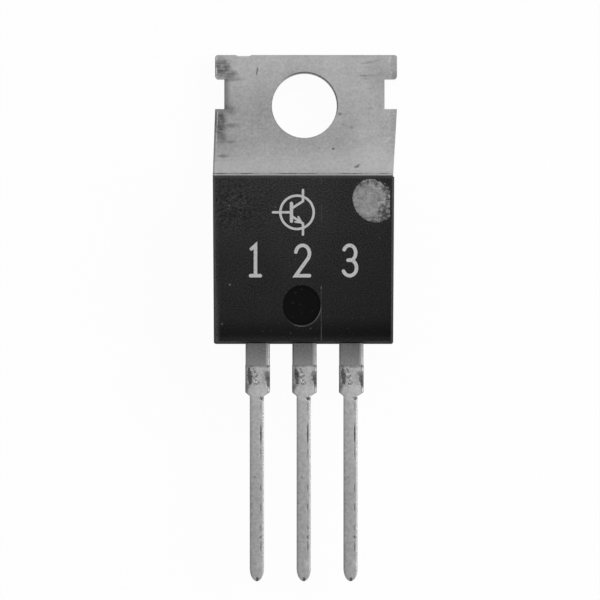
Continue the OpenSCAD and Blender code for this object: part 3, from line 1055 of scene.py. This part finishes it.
def numeral(which, x, y):
    """The paths of a plain numeral whose middle is at x, y."""
    w, h = NUMBER_W, NUMBER_H
    if which == 1:
        return [[(x - w * 0.3, y + h * 0.38), (x, y + h / 2), (x, y - h / 2)],
                [(x - w * 0.36, y - h / 2), (x + w * 0.36, y - h / 2)]]
    if which == 2:
        bowl = arc((x, y + h * 0.23), w / 2, h * 0.27, 170, -35)
        return [[*bowl, (x - w / 2, y - h / 2), (x + w / 2, y - h / 2)]]
    upper = arc((x, y + h * 0.25), w * 0.44, h * 0.25, 155, -90)
    lower = arc((x, y - h * 0.24), w / 2, h * 0.26, 90, -155)
    return [upper[:-1] + [(x - w * 0.12, y + h * 0.01)], lower]


numerals = [path for which, lead_x in enumerate(LEAD_XS.values(), start=1)
            for path in numeral(which, lead_x - NUMBER_LEFT, NUMBER_Y)]
numbers = printed("pin_numbers", [stroke(path) for path in numerals])
print(numbers.name, len(numbers.data.polygons), "faces")

# %% [markdown]
# ## Circuit symbol
#
# The sign for such a transistor is a circle with a bar for the base in it. The base line comes
# from the left, the collector leaves the bar upwards and the emitter downwards, and a barb on the
# emitter shows which way the current goes. Its lines are finer than those of the numerals.

# %% Print the circuit symbol
SYMBOL_X = -0.40
SYMBOL_Y = -5.88
SYMBOL_R = 0.90
SYMBOL_LINE = 0.13
BAR_LINE = 0.18
BARB_LINE = 0.10
BASE_END = 1.3
BAR_LEFT = 0.3
BAR_HALF = 0.48
LEG_START = 0.2
LEG_RIGHT = 0.32
LEG_BEND = 0.6
LEG_END = 1.2
BARB_L = 0.40
BARB_HALF = 0.16
BARB_TIP = 0.08


def symbol_strokes():
    """A circle with base bar, collector and emitter, and the arrow on the emitter."""
    x, y = SYMBOL_X, SYMBOL_Y
    bar_x, out_x = x - BAR_LEFT, x + LEG_RIGHT
    tip, tail = Vector((out_x, y - LEG_BEND)), Vector((bar_x, y - LEG_START))
    run = (tip - tail).normalized()
    side = Vector((-run.y, run.x)) * BARB_HALF
    barb = [tip - run * BARB_L + side, tip - run * BARB_TIP, tip - run * BARB_L - side]
    collector = [(bar_x, y + LEG_START), (out_x, y + LEG_BEND), (out_x, y + LEG_END)]
    return [stroke(arc((x, y), SYMBOL_R, SYMBOL_R, 0, 360, 64), SYMBOL_LINE, closed=True),
            stroke([(x - BASE_END, y), (bar_x, y)], SYMBOL_LINE),
            stroke([(bar_x, y + BAR_HALF), (bar_x, y - BAR_HALF)], BAR_LINE),
            stroke(collector, SYMBOL_LINE),
            stroke([tail, tip, (out_x, y - LEG_END)], SYMBOL_LINE),
            stroke(barb, BARB_LINE)]


symbol = printed("circuit_symbol", symbol_strokes())
print(symbol.name, len(symbol.data.polygons), "faces")

# %% [markdown]
# ## Sorting dot
#
# A dab of paint like this is put on by hand when parts are sorted. It is a film, so a very flat
# cone makes it, a little larger than the dot, and the paint's alpha draws the real outline. Two
# cuts keep it on the flat of the front, clear of the rounded right and top edges of the case.

# %% Brush on the sorting dot
PAINT_UP = 0.01
DOT_SPARE = 0.1
DOT_DRAFT = 0.03
DOT_EDGE_X = 4.62
DOT_TOP_Y = CASE_TOP_Y - 0.24


def sorting_dot():
    bm = bmesh.new()
    reach = DOT_R + DOT_SPARE
    bmesh.ops.create_cone(bm, cap_ends=True, segments=96, radius1=reach, radius2=reach - DOT_DRAFT,
                          depth=PAINT_UP + INK_DOWN)
    middle_z = FRONT_Z + (PAINT_UP - INK_DOWN) / 2
    bmesh.ops.translate(bm, vec=Vector((DOT_X, DOT_Y, middle_z)), verts=bm.verts)
    for at, out in (((DOT_EDGE_X, 0, 0), (1, 0, 0)), ((0, DOT_TOP_Y, 0), (0, 1, 0))):
        cut = cut_across(bm, at, out, clear_outer=True)
        rim = [part for part in cut["geom_cut"] if isinstance(part, bmesh.types.BMEdge)]
        bmesh.ops.contextual_create(bm, geom=rim)
    return finish_mesh("sorting_dot", bm, paint)


dot = sorting_dot()
print(dot.name, len(dot.data.polygons), "faces")

# %% [markdown]
# ## Table
#
# The photograph's background is pure white and the part lies flat, so the table is white where the
# camera sees it and still takes the part's soft shadow. More light would bleach the part as well.
# Instead, a ray from the camera, off metal or through glass meets a white that needs no light.

# %% Lay the table
TABLE_REACH = 600.0
TABLE_DOWN = 0.02
TABLE_GREY = 0.8
TABLE_GLOW = 0.96


def table():
    bm = bmesh.new()
    bmesh.ops.create_grid(bm, x_segments=1, y_segments=1, size=TABLE_REACH * MM)
    mesh = bpy.data.meshes.new("table")
    bm.to_mesh(mesh)
    bm.free()
    top = bpy.data.objects.new("table", mesh)
    top.location = (0, 0, -TABLE_DOWN * MM)
    bpy.context.scene.collection.objects.link(top)
    white = Finish("table_white", Roughness=1.0, Base_Color=grey(TABLE_GREY))
    seen = white.rays("Camera", "Glossy", "Transmission")
    glow = white.node("ShaderNodeEmission", {}, {"Color": grey(1), "Strength": 1.0})
    share = white.node("ShaderNodeMixShader", {}, {0: seen * TABLE_GLOW,
                                                   1: white.shader.outputs[0],
                                                   2: glow.outputs[0]})
    out = white.tree.nodes["Material Output"]
    white.feed(out.inputs["Surface"], share.outputs[0])
    mesh.materials.append(white.material)
    return top


print(table().name, "lies under the part")

# %% [markdown]
# ## Sky
#
# Metal shows its surroundings more than the lamps, and one even white would make it flat, so this
# sky dims away from a bright upper right. The camera itself sees plain white, and matt surfaces
# get less light from it than metal reflects, so that the lamps can shape them.

# %% Light from all round
SKY_LIGHT = 0.55
BRIGHT_SIDE = Vector((0.42, 0.25, 0.85)).normalized()
DIM = 0.25
DIM_FROM = -0.7
BRIGHT_FROM = 0.75


def sky():
    """White where it is looked at, and a studio that dims towards the lower left elsewhere."""
    made = bpy.data.worlds.new("studio")
    bpy.context.scene.world = made
    made.use_nodes = True
    air = Nodes(made.node_tree)
    way = air.node("ShaderNodeTexCoord", {}, {}).outputs["Generated"]
    facing = air.node("ShaderNodeVectorMath", {"operation": "DOT_PRODUCT"},
                      {0: way, 1: BRIGHT_SIDE}).outputs["Value"]
    studio = air.node("ShaderNodeMapRange", {"interpolation_type": "SMOOTHSTEP"},
                      {"Value": facing, "From Min": DIM_FROM, "From Max": BRIGHT_FROM,
                       "To Min": DIM, "To Max": 1.0}).outputs["Result"]
    share = air.node("ShaderNodeMapRange", {}, {"Value": air.rays("Glossy", "Transmission"),
                                                "To Min": SKY_LIGHT, "To Max": 1.0})
    strength = air.maths("MULTIPLY", studio, share.outputs["Result"]).larger(air.rays("Camera"))
    back = air.tree.nodes["Background"]
    air.feed(back.inputs["Color"], grey(1))
    air.feed(back.inputs["Strength"], strength)
    return made


print("sky:", sky().name)

# %% [markdown]
# ## Lamps
#
# The main light is a large soft one from the upper right. A tall strip low on the right brightens
# the right-hand rolled edges of the leads, and a weaker light from the left keeps the shadows
# open. All are area lights, because a point light would leave hard shadows on so small a part.

# %% Light the part
LAMPS = (("key", (150, 120, 160), (120, 120), 0.22),
         ("right_strip", (160, -15, 60), (40, 160), 0.13),
         ("fill", (-160, 60, 150), (140, 140), 0.06))


def soft_box(name, place_mm, size_mm, watts):
    data = bpy.data.lights.new(name, "AREA")
    data.shape = "RECTANGLE"
    data.size, data.size_y = (side * MM for side in size_mm)
    data.energy = watts
    lamp = bpy.data.objects.new(name, data)
    lamp.location = Vector(place_mm) * MM
    aim = Vector((0, CASE_TOP_Y, 0)) * MM
    lamp.rotation_euler = (aim - lamp.location).to_track_quat("-Z", "Y").to_euler()
    bpy.context.scene.collection.objects.link(lamp)
    return lamp


for lamp in LAMPS:
    print(soft_box(*lamp).name, lamp[-1], "W")
bpy.context.scene.view_settings.view_transform = "Standard"
